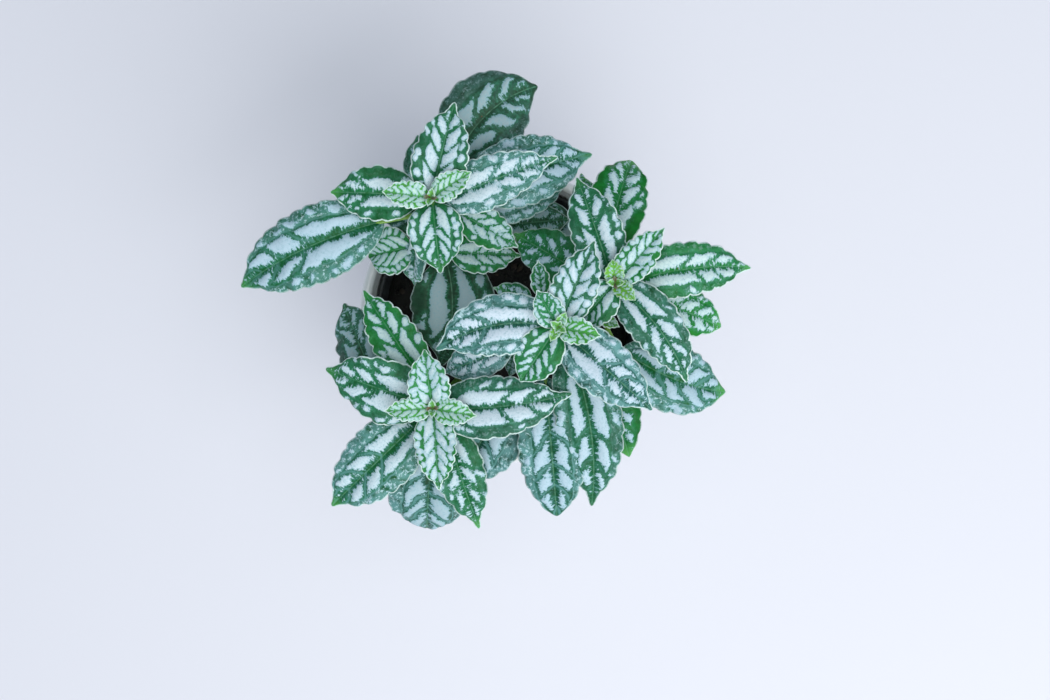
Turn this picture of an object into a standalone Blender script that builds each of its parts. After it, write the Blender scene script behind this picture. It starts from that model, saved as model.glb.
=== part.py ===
"""An aluminum plant with silver-marked leaves, in a black nursery pot set inside a white ceramic pot.

The origin is the centre of the pot's base and +Z is up. The plant's own sizes are in millimetres
and the model is in metres. Each leafy stem is one body: its stalk, leaf stalks and toothed blades.
"""

from collections import namedtuple

import bmesh
import bpy
import numpy as np

MM = 0.001

# Driving dimensions of the ceramic pot, in millimetres
POT_RADIUS = 62.5
POT_HEIGHT = 110.0
POT_BASE_RADIUS = 51.0
POT_WALL = 4.4
POT_FLOOR = 6.0
FLOOR_CORNER = 3.0
FOOT_RADIUS = 47.0
FOOT_HEIGHT = 2.0
FOOT_EASE = 1.2

# The thin black pot that stands inside it, and the clearance round its rim
LINER_TOP = 101.0
LINER_WALL = 1.2
LINER_PLAY = 0.7
LINER_BASE_RADIUS = 42.0

SOIL_TOP = 88.0
SOIL_CROWN = 2.0
GAP = 0.3
ROUND_STEPS = 44

# Stalks: how deep they root, their radius at the soil and at the growing tip
STALK_DEPTH = 16.0
STALK_RADIUS = 2.3
STALK_TIP_RADIUS = 1.3
STALK_RINGS = 9
STALK_SIDES = 6
HOLE_PLAY = 0.5
PETIOLE_RADIUS = 0.5
PETIOLE_PER_WIDTH = 0.018
PETIOLE_SIDES = 4

# Outline of a blade: its fullness towards base and tip, and the narrowing of its drawn-out point
BLADE_THICKNESS = 0.8
BASE_FULLNESS = 0.6
TIP_FULLNESS = 0.75
POINT_NARROWING = 0.45
POINT_SHARE = 0.07
POINT_HALF_WIDTH = 0.12
WIDE_BLADE = 16.0

# Teeth of the margin. TOOTH_TIP is where in its pitch a tooth stands furthest out.
TOOTH_PITCH = 8.0
TOOTH_TIP = 0.68
TOOTH_DEPTH = 1.3
FULL_TOOTH_LENGTH = 30.0
FULL_TOOTH_HALF_WIDTH = 3.0

# Cross-section of a blade, as shares of its half width: the trough that opens with age, the roll-over
# of its margins and their waves
KEEL = 0.8
KEEL_LOST = 0.38
ARCH = 0.4
ARCH_GAINED = 0.08
MARGIN_WAVE = 0.1
AXIS_STEPS = 48

# A stalk rises from its root in the soil to its growing tip, both given in plan and the tip's height.
Stem = namedtuple("Stem", "name root tip leaves")

# node is the height where a leaf leaves the stalk, bearing and petiole give its leaf stalk in plan.
# The blade then heads its own way. rise is its slope at the base, droop what it loses to the tip,
# swing its sideways turn and roll its tilt, all in degrees. age is 0 for a bud and 1 when full grown.
Leaf = namedtuple("Leaf", "node bearing petiole heading length width rise droop swing roll age")

STEMS = (
    Stem("leafy_stem_a", (-18, 28), (-28, 43, 176), (
        Leaf(175, 170, 2, 174, 17, 11, 30, 30, 0, 0, 0.15),
        Leaf(175, 30, 2, 31, 17, 11, 30, 30, 0, 0, 0.15),
        Leaf(171, 76, 3, 76, 36, 22, 32, 50, 0, 0, 0.45),
        Leaf(168, -85, 3, -84, 26, 22, 18, 50, 0, 0, 0.5),
        Leaf(163, 155, 6, 177, 36, 22, 21, 46, 0, 0, 0.7),
        Leaf(165, -20, 5, 21, 48, 21, 24, 48, 0, 12, 0.75),
        Leaf(152, 40, 14, 15, 53, 28, 18, 44, 0, 0, 0.9),
        Leaf(144, 10, 12, 21, 44, 22, 12, 38, 0, 0, 0.9),
        Leaf(150, 190, 22, 195, 66, 31, 14, 44, 18, 0, 0.9),
        Leaf(146, 75, 21, 68, 48, 34, 18, 46, -50, 0, 1.0),
        Leaf(136, 214, 17, 192, 20, 20, 14, 55, 0, 0, 0.35),
        Leaf(142, 213, 14, -92, 20, 16, 5, 35, 0, 45, 0.8),
        Leaf(156, -13, 9, -30, 27, 16, 10, 30, 0, 0, 0.45),
        Leaf(146, -78, 15, -2, 29, 17, 4, 26, 0, 0, 0.5),
        Leaf(138, -92, 14, -72, 48, 35, 10, 46, -45, 0, 1.0),
        Leaf(140, 110, 6, 108, 32, 21, 16, 46, 0, 0, 0.9),
        Leaf(130, 45, 20, 41, 37, 18, 5, 18, 0, 0, 0.4),
        Leaf(131, 0, 12, 6, 39, 20, 8, 30, 0, 0, 1.0),
        Leaf(120, 150, 10, 152, 33, 20, 0, 20, 0, 0, 1.0),
    )),
    Stem("leafy_stem_b", (28, 8), (42, 11, 172), (
        Leaf(171, 95, 1, 98, 9, 8, 42, 30, 0, 0, 0.0),
        Leaf(171, -45, 1, -42, 10.5, 7.5, 42, 30, 0, 0, 0.0),
        Leaf(170, 43, 2, 48, 27, 14.5, 25, 40, 0, 0, 0.35),
        Leaf(168, 226, 2, 229, 20, 17, 15, 45, 0, 0, 0.4),
        Leaf(166, 110, 4, 109, 41, 21, 24, 50, 0, 0, 0.6),
        Leaf(164, -45, 4, -37, 47, 21, 22, 56, -32, 0, 0.6),
        Leaf(158, 6, 6, 18, 52, 22, 18, 46, -22, 0, 0.75),
        Leaf(152, 155, 8, 149, 36, 21, 12, 42, 0, 0, 0.9),
        Leaf(148, 88, 12, 80, 47, 24, 12, 64, -12, 0, 0.8),
        Leaf(140, 96, 10, 99, 39, 18, 10, 38, 0, 0, 0.9),
        Leaf(146, -8, 14, -22, 38, 20, 10, 40, 0, 0, 0.8),
        Leaf(134, -66, 26, -38, 49, 29, 8, 34, 32, 0, 0.9),
        Leaf(121, 125, 8, 108, 36, 20, 2, 14, 0, 0, 1.0),
        Leaf(117, 20, 8, 22, 34, 19, 0, 20, 0, 0, 1.0),
    )),
    Stem("leafy_stem_c", (14, -4), (20, -6, 184), (
        Leaf(183, 60, 1, 62, 6.5, 4.5, 50, 30, 0, 0, 0.0),
        Leaf(183, -120, 1, -118, 6.5, 4.5, 50, 30, 0, 0, 0.0),
        Leaf(183, 125, 2, 120, 14.5, 12, 30, 30, 0, 0, 0.4),
        Leaf(183, -14, 2, -12, 15, 11, 30, 30, 0, 0, 0.15),
        Leaf(180, 65, 3, 67, 33, 18, 25, 40, 0, 0, 0.4),
        Leaf(178, 228, 3, 236, 23, 18, 15, 45, 0, 0, 0.45),
        Leaf(176, 168, 4, 167.5, 46, 24, 22, 50, 48, 0, 0.75),
        Leaf(175, -38, 4, -41, 46, 23, 21, 50, 0, 0, 0.8),
        Leaf(158, -50, 8, -67.5, 71, 27, 8, 44, -28, 0, 0.85),
        Leaf(150, -50, 14, -50, 49, 24, 8, 36, -24, 0, 0.9),
        Leaf(152, -98, 20, -85, 59, 27, 10, 44, 0, 0, 0.9),
        Leaf(158, 205, 18, 201, 31, 16, 10, 52, 0, 0, 0.8),
        Leaf(168, 115, 13, 96, 14, 8, 20, 30, 0, 0, 0.4),
        Leaf(150, 125, 14, 165, 16, 9, 5, 20, 0, 0, 0.9),
        Leaf(150, 205, 16, -100, 14, 8, 5, 30, 0, 40, 1.0),
        Leaf(138, 12, 20, -27, 10, 6, 15, 20, 0, 0, 0.1),
        Leaf(124, 200, 8, 196, 34, 19, 6, 34, 0, 0, 1.0),
    )),
    Stem("leafy_stem_d", (-18, -24), (-28, -37, 166), (
        Leaf(165, 185, 2, 183, 17, 10, 25, 30, 0, 0, 0.15),
        Leaf(165, -30, 2, -9, 16, 11, 25, 28, 0, 0, 0.15),
        Leaf(163, 98, 3, 97, 22, 17, 48, 60, 0, 0, 0.25),
        Leaf(161, -86, 3, -86, 30, 17, 20, 38, 0, 0, 0.3),
        Leaf(158, 172, 5, 161, 42, 27, 18, 46, 0, -18, 0.7),
        Leaf(160, -8, 5, -3, 50.5, 25, 23, 40, 18, 0, 0.75),
        Leaf(152, 118, 8, 124, 47, 20, 12, 36, 0, 0, 0.5),
        Leaf(140, 167, 27, 114, 37, 23, 10, 46, 0, -18, 1.0),
        Leaf(148, 225, 8, 224, 55, 28, 12, 44, 0, 0, 0.8),
        Leaf(146, -100, 10, -96, 52, 34, 10, 72, 0, 0, 0.95),
        Leaf(154, -65, 7, -72, 47, 21, 14, 44, 0, 0, 0.8),
        Leaf(144, 5, 24, -109, 42, 32, 10, 48, -14, 0, 0.9),
        Leaf(122, 200, 8, 202, 27, 18, 0, 20, 0, 0, 1.0),
    )),
)


def stalk_point(stem, height):
    """Centre of the stalk at a height: straight up in the soil, then leaning out and upright again."""
    root, tip = np.array(stem.root, float), np.array(stem.tip[:2], float)
    s = np.clip((height - SOIL_TOP) / (stem.tip[2] - SOIL_TOP), 0.0, 1.0)
    return np.append(root + (tip - root) * (3.0 - 2.0 * s) * s * s, height)


def blade_start(stem, leaf):
    """Where the leaf stalk ends and the blade begins."""
    bearing = np.radians(leaf.bearing)
    climb = leaf.petiole * np.tan(np.radians(leaf.rise))
    reach = np.array([leaf.petiole * np.cos(bearing), leaf.petiole * np.sin(bearing), climb])
    return stalk_point(stem, leaf.node) + reach


def midrib(stem, leaf):
    """Points down the midrib, with the directions across the blade and out of its face at each."""
    u = np.linspace(0.0, 1.0, AXIS_STEPS + 1)
    pitch = np.radians(leaf.rise - leaf.droop * u)
    turn = np.radians(leaf.heading + leaf.swing * u)
    roll = np.radians(leaf.roll)
    along = np.stack([np.cos(pitch) * np.cos(turn), np.cos(pitch) * np.sin(turn), np.sin(pitch)], axis=1)
    level = np.stack([-np.sin(turn), np.cos(turn), np.zeros_like(turn)], axis=1)
    up = np.cross(along, level)
    across = level * np.cos(roll) + up * np.sin(roll)
    face = up * np.cos(roll) - level * np.sin(roll)
    steps = (along[1:] + along[:-1]) / 2.0 * leaf.length / AXIS_STEPS
    points = blade_start(stem, leaf) + np.vstack([np.zeros(3), np.cumsum(steps, axis=0)])
    return points, across, face


def half_width(leaf, u):
    """Half of the blade's width: a rounded base, widest before the middle, drawn out to a point."""
    widest = BASE_FULLNESS / (BASE_FULLNESS + TIP_FULLNESS)
    oval = (u / widest) ** BASE_FULLNESS * ((1.0 - u) / (1.0 - widest)) ** TIP_FULLNESS
    point = 1.0 - POINT_NARROWING * np.exp(-(((1.0 - u) / POINT_SHARE) ** 2))
    return leaf.width / 2.0 * oval * point


def tooth_count(leaf):
    return max(2, round(leaf.length / TOOTH_PITCH))


def tooth_cut(leaf, u):
    """How far the margin is drawn in: each tooth rises slowly to its tip and drops back to a notch."""
    phase = (u * tooth_count(leaf)) % 1.0
    rise = np.where(phase < TOOTH_TIP, phase / TOOTH_TIP, (1.0 - phase) / (1.0 - TOOTH_TIP))
    depth = TOOTH_DEPTH * min(1.0, leaf.length / FULL_TOOTH_LENGTH)
    return depth * (1.0 - rise) * np.minimum(1.0, half_width(leaf, u) / FULL_TOOTH_HALF_WIDTH)


def blade_point(stem, leaf, order, u, v):
    """Points of the blade at u along it and v across it, from -1 to 1, for arrays of either."""
    points, across, face = midrib(stem, leaf)
    grid = np.linspace(0.0, 1.0, AXIS_STEPS + 1)
    middle, side, out = (np.stack([np.interp(u, grid, row[:, i]) for i in range(3)], axis=-1)
                         for row in (points, across, face))
    whole = half_width(leaf, u)
    half = np.maximum(whole - tooth_cut(leaf, u), POINT_HALF_WIDTH)
    keel, arch = KEEL - KEEL_LOST * leaf.age, ARCH + ARCH_GAINED * leaf.age
    wave = MARGIN_WAVE * np.sin(3.0 * np.pi * u + 2.4 * order + np.sign(v))
    lift = whole * (keel * np.abs(v) + (wave - arch) * v * v)
    return middle + side * (half * v)[..., None] + out * lift[..., None]


def clear_scene():
    for obj in list(bpy.data.objects):
        bpy.data.objects.remove(obj, do_unlink=True)


def new_collection(name):
    collection = bpy.data.collections.new(name)
    bpy.context.scene.collection.children.link(collection)
    return collection


def new_material(name, colour, roughness, metallic=0.0):
    material = bpy.data.materials.new(name)
    material.use_nodes = True
    shader = material.node_tree.nodes["Principled BSDF"]
    shader.inputs["Base Color"].default_value = (*colour, 1.0)
    shader.inputs["Roughness"].default_value = roughness
    shader.inputs["Metallic"].default_value = metallic
    return material


def turned(name, profile, collection, material):
    """A body turned about the Z axis from a profile of (radius, height) points in millimetres."""
    mesh = bpy.data.meshes.new(name)
    points = [(radius * MM, 0.0, height * MM) for radius, height in profile]
    mesh.from_pydata(points, [(i, i + 1) for i in range(len(points) - 1)], [])
    body = bpy.data.objects.new(name, mesh)
    collection.objects.link(body)
    screw = body.modifiers.new("turn", "SCREW")
    screw.steps = screw.render_steps = ROUND_STEPS
    screw.use_merge_vertices = True
    screw.merge_threshold = 0.00005
    screw.use_smooth_shade = True
    mesh.materials.append(material)
    return body


def arc(centre, radius, start, end, count):
    """Points of an arc from start to end degrees, in the profile's plane."""
    angles = np.radians(np.linspace(start, end, count))
    return [(centre[0] + radius * np.cos(a), centre[1] + radius * np.sin(a)) for a in angles]


def pot_inside(height):
    """Inner radius of the ceramic pot at a height."""
    share = (height - POT_FLOOR) / (POT_HEIGHT - POT_FLOOR)
    return POT_BASE_RADIUS - POT_WALL + share * (POT_RADIUS - POT_BASE_RADIUS)


def liner_inside(height):
    """Inner radius of the black pot at a height."""
    top = pot_inside(LINER_TOP) - LINER_PLAY - LINER_WALL
    share = (height - POT_FLOOR) / (LINER_TOP - POT_FLOOR)
    return LINER_BASE_RADIUS - LINER_WALL + share * (top - LINER_BASE_RADIUS + LINER_WALL)


def ceramic_pot(collection):
    """Slip-cast pot with a rounded lip, a slight taper and a turned foot."""
    lip = POT_WALL / 2.0
    profile = [(0.0, POT_FLOOR), (pot_inside(POT_FLOOR) - FLOOR_CORNER, POT_FLOOR)]
    profile += [(pot_inside(POT_FLOOR + FLOOR_CORNER), POT_FLOOR + FLOOR_CORNER)]
    profile += arc((POT_RADIUS - lip, POT_HEIGHT - lip), lip, 180.0, 0.0, 7)
    profile += [(POT_BASE_RADIUS + FOOT_EASE / 2.0, POT_FLOOR)]
    profile += [(POT_BASE_RADIUS - FOOT_EASE, FOOT_HEIGHT + FOOT_EASE)]
    profile += [(FOOT_RADIUS + FOOT_EASE, FOOT_HEIGHT), (FOOT_RADIUS, 0.0), (0.0, 0.0)]
    return turned("ceramic_pot", profile, collection, new_material("glazed_white", (0.88, 0.89, 0.9), 0.12))


def nursery_pot(collection):
    """Thin moulded plastic pot that holds the soil and stands on the ceramic pot's floor."""
    bottom = POT_FLOOR + GAP
    floor = bottom + LINER_WALL
    profile = [(0.0, floor), (liner_inside(floor), floor), (liner_inside(LINER_TOP), LINER_TOP)]
    profile += [(liner_inside(LINER_TOP) + LINER_WALL, LINER_TOP)]
    profile += [(liner_inside(bottom) + LINER_WALL, bottom), (0.0, bottom)]
    return turned("nursery_pot", profile, collection, new_material("black_plastic", (0.012, 0.012, 0.013), 0.45))


def soil(collection, cutters):
    """Potting soil filling the nursery pot, a little crowned, with a hole for each stalk."""
    floor = POT_FLOOR + GAP + LINER_WALL + GAP
    edge = liner_inside(SOIL_TOP) - GAP
    profile = [(0.0, SOIL_TOP + SOIL_CROWN), (edge * 0.35, SOIL_TOP + SOIL_CROWN * 0.85)]
    profile += [(edge * 0.7, SOIL_TOP + SOIL_CROWN * 0.45), (edge, SOIL_TOP)]
    profile += [(liner_inside(floor) - GAP, floor), (0.0, floor)]
    body = turned("soil", profile, collection, new_material("potting_soil", (0.02, 0.014, 0.01), 0.95))
    for stem in STEMS:
        cut = body.modifiers.new("hole_" + stem.name[-1], "BOOLEAN")
        cut.operation = "DIFFERENCE"
        cut.object = stalk_hole(stem, cutters)
    return body


def stalk_hole(stem, cutters):
    """A cylinder a little wider than the stalk, from under its root to above the soil."""
    bottom, top = SOIL_TOP - STALK_DEPTH - GAP, SOIL_TOP + 3.0 * SOIL_CROWN
    mesh = bpy.data.meshes.new("hole_" + stem.name)
    shape = bmesh.new()
    radius = (STALK_RADIUS + HOLE_PLAY) * MM
    bmesh.ops.create_cone(shape, cap_ends=True, segments=10, radius1=radius, radius2=radius,
                          depth=(top - bottom) * MM)
    shape.to_mesh(mesh)
    shape.free()
    cutter = bpy.data.objects.new("hole_" + stem.name, mesh)
    cutter.location = (stem.root[0] * MM, stem.root[1] * MM, (bottom + top) / 2.0 * MM)
    cutter.hide_render = True
    cutter.display_type = "WIRE"
    cutters.objects.link(cutter)
    return cutter


def tube(name, points, radii, sides, collection):
    """A tapered tube through points in millimetres, made a closed mesh so that it can be joined."""
    curve = bpy.data.curves.new(name, "CURVE")
    curve.dimensions = "3D"
    curve.bevel_depth = MM
    curve.bevel_resolution = sides // 2 - 2
    curve.use_fill_caps = True
    spline = curve.splines.new("POLY")
    spline.points.add(len(points) - 1)
    for target, point, radius in zip(spline.points, points, radii):
        target.co = (*(np.asarray(point) * MM), 1.0)
        target.radius = radius
    guide = bpy.data.objects.new(name, curve)
    collection.objects.link(guide)
    mesh = bpy.data.meshes.new_from_object(guide.evaluated_get(bpy.context.evaluated_depsgraph_get()))
    bpy.data.objects.remove(guide, do_unlink=True)
    shape = bmesh.new()
    shape.from_mesh(mesh)
    bmesh.ops.remove_doubles(shape, verts=shape.verts, dist=0.00001)
    bmesh.ops.recalc_face_normals(shape, faces=shape.faces)
    shape.to_mesh(mesh)
    shape.free()
    body = bpy.data.objects.new(name, mesh)
    collection.objects.link(body)
    return body


def blade_rows(leaf):
    """Stations down the blade, one at each notch and one at each tooth's tip."""
    teeth = tooth_count(leaf)
    rows = [0.0]
    for tooth in range(teeth):
        rows += [(tooth + TOOTH_TIP) / teeth, (tooth + 1.0) / teeth]
    return np.array(rows)


def blade(stem, leaf, order, collection):
    """A grid bent to the leaf's form, split into triangles and then given its thickness."""
    rows = blade_rows(leaf)
    strips = 4 if leaf.width >= WIDE_BLADE else 2
    name = f"{stem.name}_blade_{order}"
    shape = bmesh.new()
    bmesh.ops.create_grid(shape, x_segments=len(rows) - 1, y_segments=strips, size=1.0)
    verts = list(shape.verts)
    u = np.array([rows[round((vert.co.x + 1.0) / 2.0 * (len(rows) - 1))] for vert in verts])
    v = np.array([vert.co.y for vert in verts])
    for vert, place in zip(verts, blade_point(stem, leaf, order, u, v) * MM):
        vert.co = place
    for end in (1.0, 0.0):
        row = [vert for vert, at in zip(verts, u) if at == end]
        bmesh.ops.pointmerge(shape, verts=row, merge_co=row[strips // 2].co)
    bmesh.ops.triangulate(shape, faces=shape.faces)
    mesh = bpy.data.meshes.new(name)
    shape.to_mesh(mesh)
    shape.free()
    body = bpy.data.objects.new(name, mesh)
    collection.objects.link(body)
    shell = body.modifiers.new("thickness", "SOLIDIFY")
    shell.thickness = BLADE_THICKNESS * MM
    shell.offset = 0.0
    return body


def leafy_stem(stem, collection, material):
    """One stalk with all its leaves, joined into a single body."""
    heights = np.linspace(SOIL_TOP - STALK_DEPTH, stem.tip[2], STALK_RINGS)
    radii = np.linspace(STALK_RADIUS, STALK_TIP_RADIUS, STALK_RINGS)
    stalk = tube(stem.name, [stalk_point(stem, h) for h in heights], radii, STALK_SIDES, collection)
    parts = new_collection(stem.name + "_leaves")
    for order, leaf in enumerate(stem.leaves):
        blade(stem, leaf, order, parts)
        rib = midrib(stem, leaf)[0]
        thick = PETIOLE_RADIUS + PETIOLE_PER_WIDTH * leaf.width
        route = [stalk_point(stem, leaf.node), rib[0], rib[AXIS_STEPS // 8]]
        tapered = [thick * 1.2, thick, thick * 0.7]
        tube(f"{stem.name}_petiole_{order}", route, tapered, PETIOLE_SIDES, parts)
    join = stalk.modifiers.new("leaves", "BOOLEAN")
    join.operation = "UNION"
    join.operand_type = "COLLECTION"
    join.collection = parts
    joined = bpy.data.meshes.new_from_object(stalk.evaluated_get(bpy.context.evaluated_depsgraph_get()))
    stalk.modifiers.clear()
    stalk.data = joined
    joined.materials.clear()
    joined.materials.append(material)
    for obj in list(parts.objects):
        bpy.data.objects.remove(obj, do_unlink=True)
    bpy.data.collections.remove(parts)
    return stalk


def main():
    clear_scene()
    plant = new_collection("potted_aluminum_plant")
    cutters = new_collection("cutters")
    ceramic_pot(plant)
    nursery_pot(plant)
    soil(plant, cutters)
    leaf_green = new_material("leaf_green", (0.03, 0.16, 0.07), 0.4)
    for stem in STEMS:
        leafy_stem(stem, plant, leaf_green)


main()
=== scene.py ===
"""A potted aluminum plant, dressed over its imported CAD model.

The frame is in metres. The pots' and the plant's own sizes are in millimetres and are scaled by MM.
"""

from collections import namedtuple

import bpy
import numpy as np
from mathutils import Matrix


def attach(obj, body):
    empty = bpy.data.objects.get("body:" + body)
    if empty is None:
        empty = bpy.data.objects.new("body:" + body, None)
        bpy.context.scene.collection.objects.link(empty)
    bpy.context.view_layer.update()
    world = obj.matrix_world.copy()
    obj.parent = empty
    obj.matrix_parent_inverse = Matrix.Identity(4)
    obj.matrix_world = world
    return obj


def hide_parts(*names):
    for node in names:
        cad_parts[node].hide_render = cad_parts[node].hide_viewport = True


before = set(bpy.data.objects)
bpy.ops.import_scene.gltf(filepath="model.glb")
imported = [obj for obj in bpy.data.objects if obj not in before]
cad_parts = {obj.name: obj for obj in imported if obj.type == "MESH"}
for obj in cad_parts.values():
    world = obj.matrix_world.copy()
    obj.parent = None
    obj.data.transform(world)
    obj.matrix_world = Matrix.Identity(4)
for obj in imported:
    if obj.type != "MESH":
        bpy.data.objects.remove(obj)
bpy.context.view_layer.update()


# Where it is seen from: a camera held level over the plant, a little right of the pot's centre and below it,
# with a normal lens. Round it are a plain pale table top and the light of an overcast window.
camera = bpy.data.objects.new("camera", bpy.data.cameras.new("camera"))
camera.data.lens = 50.0
camera.data.sensor_width = 36.0
camera.data.clip_start = 0.01
camera.location = (0.0077, -0.0146, 0.728)
bpy.context.scene.collection.objects.link(camera)
bpy.context.scene.camera = camera
bpy.context.scene.view_settings.view_transform = "Standard"

bpy.ops.mesh.primitive_plane_add(size=4.0, location=(0.0, 0.0, 0.0))
table_top = bpy.context.object
table_top.name = "table_top"
table_top.data.materials.append(bpy.data.materials.new("pale_table"))
table_top.data.materials[0].use_nodes = True
pale = table_top.data.materials[0].node_tree.nodes["Principled BSDF"]
pale.inputs["Base Color"].default_value = (0.71, 0.72, 0.78, 1.0)
pale.inputs["Roughness"].default_value = 0.6

world = bpy.data.worlds.new("soft_room")
world.use_nodes = True
world.node_tree.nodes["Background"].inputs["Color"].default_value = (0.80, 0.89, 1.0, 1.0)
world.node_tree.nodes["Background"].inputs["Strength"].default_value = 0.52
bpy.context.scene.world = world

for name, place, turn, size, power in (("window", (0.70, -1.05, 1.25), (45.0, 0.0, 33.7), 1.6, 23.5),
                                       ("ceiling", (0.1, -0.1, 1.9), (0.0, 0.0, 0.0), 1.4, 10.5)):
    lamp = bpy.data.objects.new(name, bpy.data.lights.new(name, "AREA"))
    lamp.data.size = size
    lamp.data.energy = power
    lamp.data.color = (1.0, 0.99, 0.97)
    lamp.location = place
    lamp.rotation_euler = np.radians(turn)
    bpy.context.scene.collection.objects.link(lamp)


# The ceramic pot: one slip-cast shell, glazed white all over but for the rim of its foot, which is wiped
# bare so that it doesn't stick in the kiln. Its lip is rounded and the glaze lies a little uneven.
MM = 0.001
HUB = 1.0
POT_RADIUS, POT_HEIGHT, POT_BASE_RADIUS = 62.5, 110.0, 51.0
POT_WALL, POT_FLOOR, POT_CORNER = 4.4, 6.0, 3.0
FOOT_RADIUS, FOOT_HEIGHT, FOOT_RING, FOOT_HOLLOW, FOOT_ROUND = 47.0, 2.0, 4.0, 1.1, 0.8
GLAZED_ABOVE, BARE_BELOW = 0.0016, 0.0009
POT_SIDES = 160
THIN_GLAZE, THICK_GLAZE = (0.80, 0.83, 0.86), (0.86, 0.88, 0.90)
CLAY_BUFF, CLAY_SPECK = (0.62, 0.58, 0.52), (0.40, 0.35, 0.29)


def pot_inside(height):
    """Inner radius of the ceramic pot at a height."""
    share = (height - POT_FLOOR) / (POT_HEIGHT - POT_FLOOR)
    return POT_BASE_RADIUS - POT_WALL + share * (POT_RADIUS - POT_BASE_RADIUS)


def thrown(name, profile, sides, angle=40.0):
    """A round, closed wall: a disc drawn up through the profile's (radius, height) points, as on a wheel."""
    bpy.ops.object.select_all(action="DESELECT")
    bpy.ops.mesh.primitive_circle_add(vertices=sides, radius=profile[0][0] * MM, fill_type="TRIFAN",
                                      location=(0.0, 0.0, profile[0][1] * MM))
    bpy.ops.object.transform_apply(location=True, rotation=True, scale=True)
    piece = bpy.context.object
    piece.name = name
    bpy.ops.object.mode_set(mode="EDIT")
    bpy.ops.mesh.select_all(action="SELECT")
    for (before, low), (after, high) in zip(profile, profile[1:]):
        bpy.ops.mesh.extrude_region_move(TRANSFORM_OT_translate={"value": (0.0, 0.0, (high - low) * MM)})
        share = after / before
        bpy.ops.transform.resize(value=(share, share, 1.0), center_override=(0.0, 0.0, high * MM))
    bpy.ops.mesh.select_all(action="SELECT")
    bpy.ops.mesh.normals_make_consistent(inside=False)
    bpy.ops.object.mode_set(mode="OBJECT")
    bpy.ops.object.shade_smooth_by_angle(angle=np.radians(angle))
    return piece


def arc(centre, radius, start, end, count):
    """Points of an arc from start to end degrees, in the profile's plane."""
    angles = np.radians(np.linspace(start, end, count))
    return [(centre[0] + radius * np.cos(a), centre[1] + radius * np.sin(a)) for a in angles]


def finish(name, roughness):
    """A new material, its node tree and its shader."""
    material = bpy.data.materials.new(name)
    material.use_nodes = True
    shader = material.node_tree.nodes["Principled BSDF"]
    shader.inputs["Roughness"].default_value = roughness
    return material, material.node_tree, shader


def add(tree, kind, *sources, out=0, **settings):
    """Adds a shader node. Its inputs are filled in order: a socket is joined, a number set and None left."""
    node = tree.nodes.new("ShaderNode" + kind)
    for setting, value in settings.items():
        setattr(node, setting, value)
    for socket, source in zip(node.inputs, sources):
        if isinstance(source, bpy.types.NodeSocket):
            tree.links.new(source, socket)
        elif source is not None:
            socket.default_value = source
    return node.outputs[out]


def own_place(tree):
    """Where a point lies on the piece, in metres."""
    return add(tree, "TexCoord", out=3)


def noise(tree, place, scale, detail=2.0, roughness=0.5):
    """Noise about 0.5 over a place given in the piece's own measure."""
    return add(tree, "TexNoise", place, None, scale, detail, roughness)


def fade(tree, value, start, end, low=0.0, high=1.0):
    """A smooth step of value, from low at start to high at end."""
    return add(tree, "MapRange", value, start, end, low, high, interpolation_type="SMOOTHSTEP")


def sums(tree, first, second):
    """Two values added."""
    return add(tree, "Math", first, second, operation="ADD")


def blend(tree, share, low, high):
    """A colour between low and high."""
    node = tree.nodes.new("ShaderNodeMix")
    node.data_type = "RGBA"
    for index, source in ((0, share), (6, low), (7, high)):
        if isinstance(source, bpy.types.NodeSocket):
            tree.links.new(source, node.inputs[index])
        elif index:
            node.inputs[index].default_value = (*source, 1.0)
        else:
            node.inputs[index].default_value = source
    return node.outputs[2]


def bumps(tree, strength, depth, height):
    """A bumpy surface, whose bumps stand depth metres high where height goes from 0 to 1."""
    return add(tree, "Bump", strength, depth, None, height)


def join(tree, shader, **sockets):
    """Joins values to the shader's inputs; an input's spaces are written as underscores."""
    for name, source in sockets.items():
        tree.links.new(source, shader.inputs[name.replace("_", " ")])


lip = POT_WALL / 2.0
profile = [(HUB, POT_FLOOR), (20.0, POT_FLOOR), (pot_inside(POT_FLOOR) - POT_CORNER, POT_FLOOR)]
profile += [(pot_inside(h), h) for h in (POT_FLOOR + POT_CORNER, 30.0, 55.0, 80.0, 100.0)]
profile += arc((POT_RADIUS - lip, POT_HEIGHT - lip), lip, 180.0, 0.0, 17)
profile += [(POT_RADIUS - (POT_RADIUS - POT_BASE_RADIUS) * (POT_HEIGHT - h) / POT_HEIGHT, h)
            for h in (104.0, 80.0, 55.0, 30.0, 10.0)]
profile += arc((POT_BASE_RADIUS - POT_CORNER, FOOT_HEIGHT + 3.4), 3.2, -5.0, -80.0, 7)
profile += [(FOOT_RADIUS + 0.9, FOOT_HEIGHT + 0.2), (FOOT_RADIUS + 0.4, FOOT_HEIGHT - 0.5)]
profile += arc((FOOT_RADIUS - FOOT_ROUND, FOOT_ROUND), FOOT_ROUND, 0.0, -90.0, 5)
profile += [(FOOT_RADIUS - FOOT_RING - inward, high)
            for inward, high in ((0.0, 0.0), (0.6, 0.6), (2.0, FOOT_HOLLOW))]
profile += [(HUB, FOOT_HOLLOW)]
ceramic = thrown("ceramic_cover_pot", profile, POT_SIDES)

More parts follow.
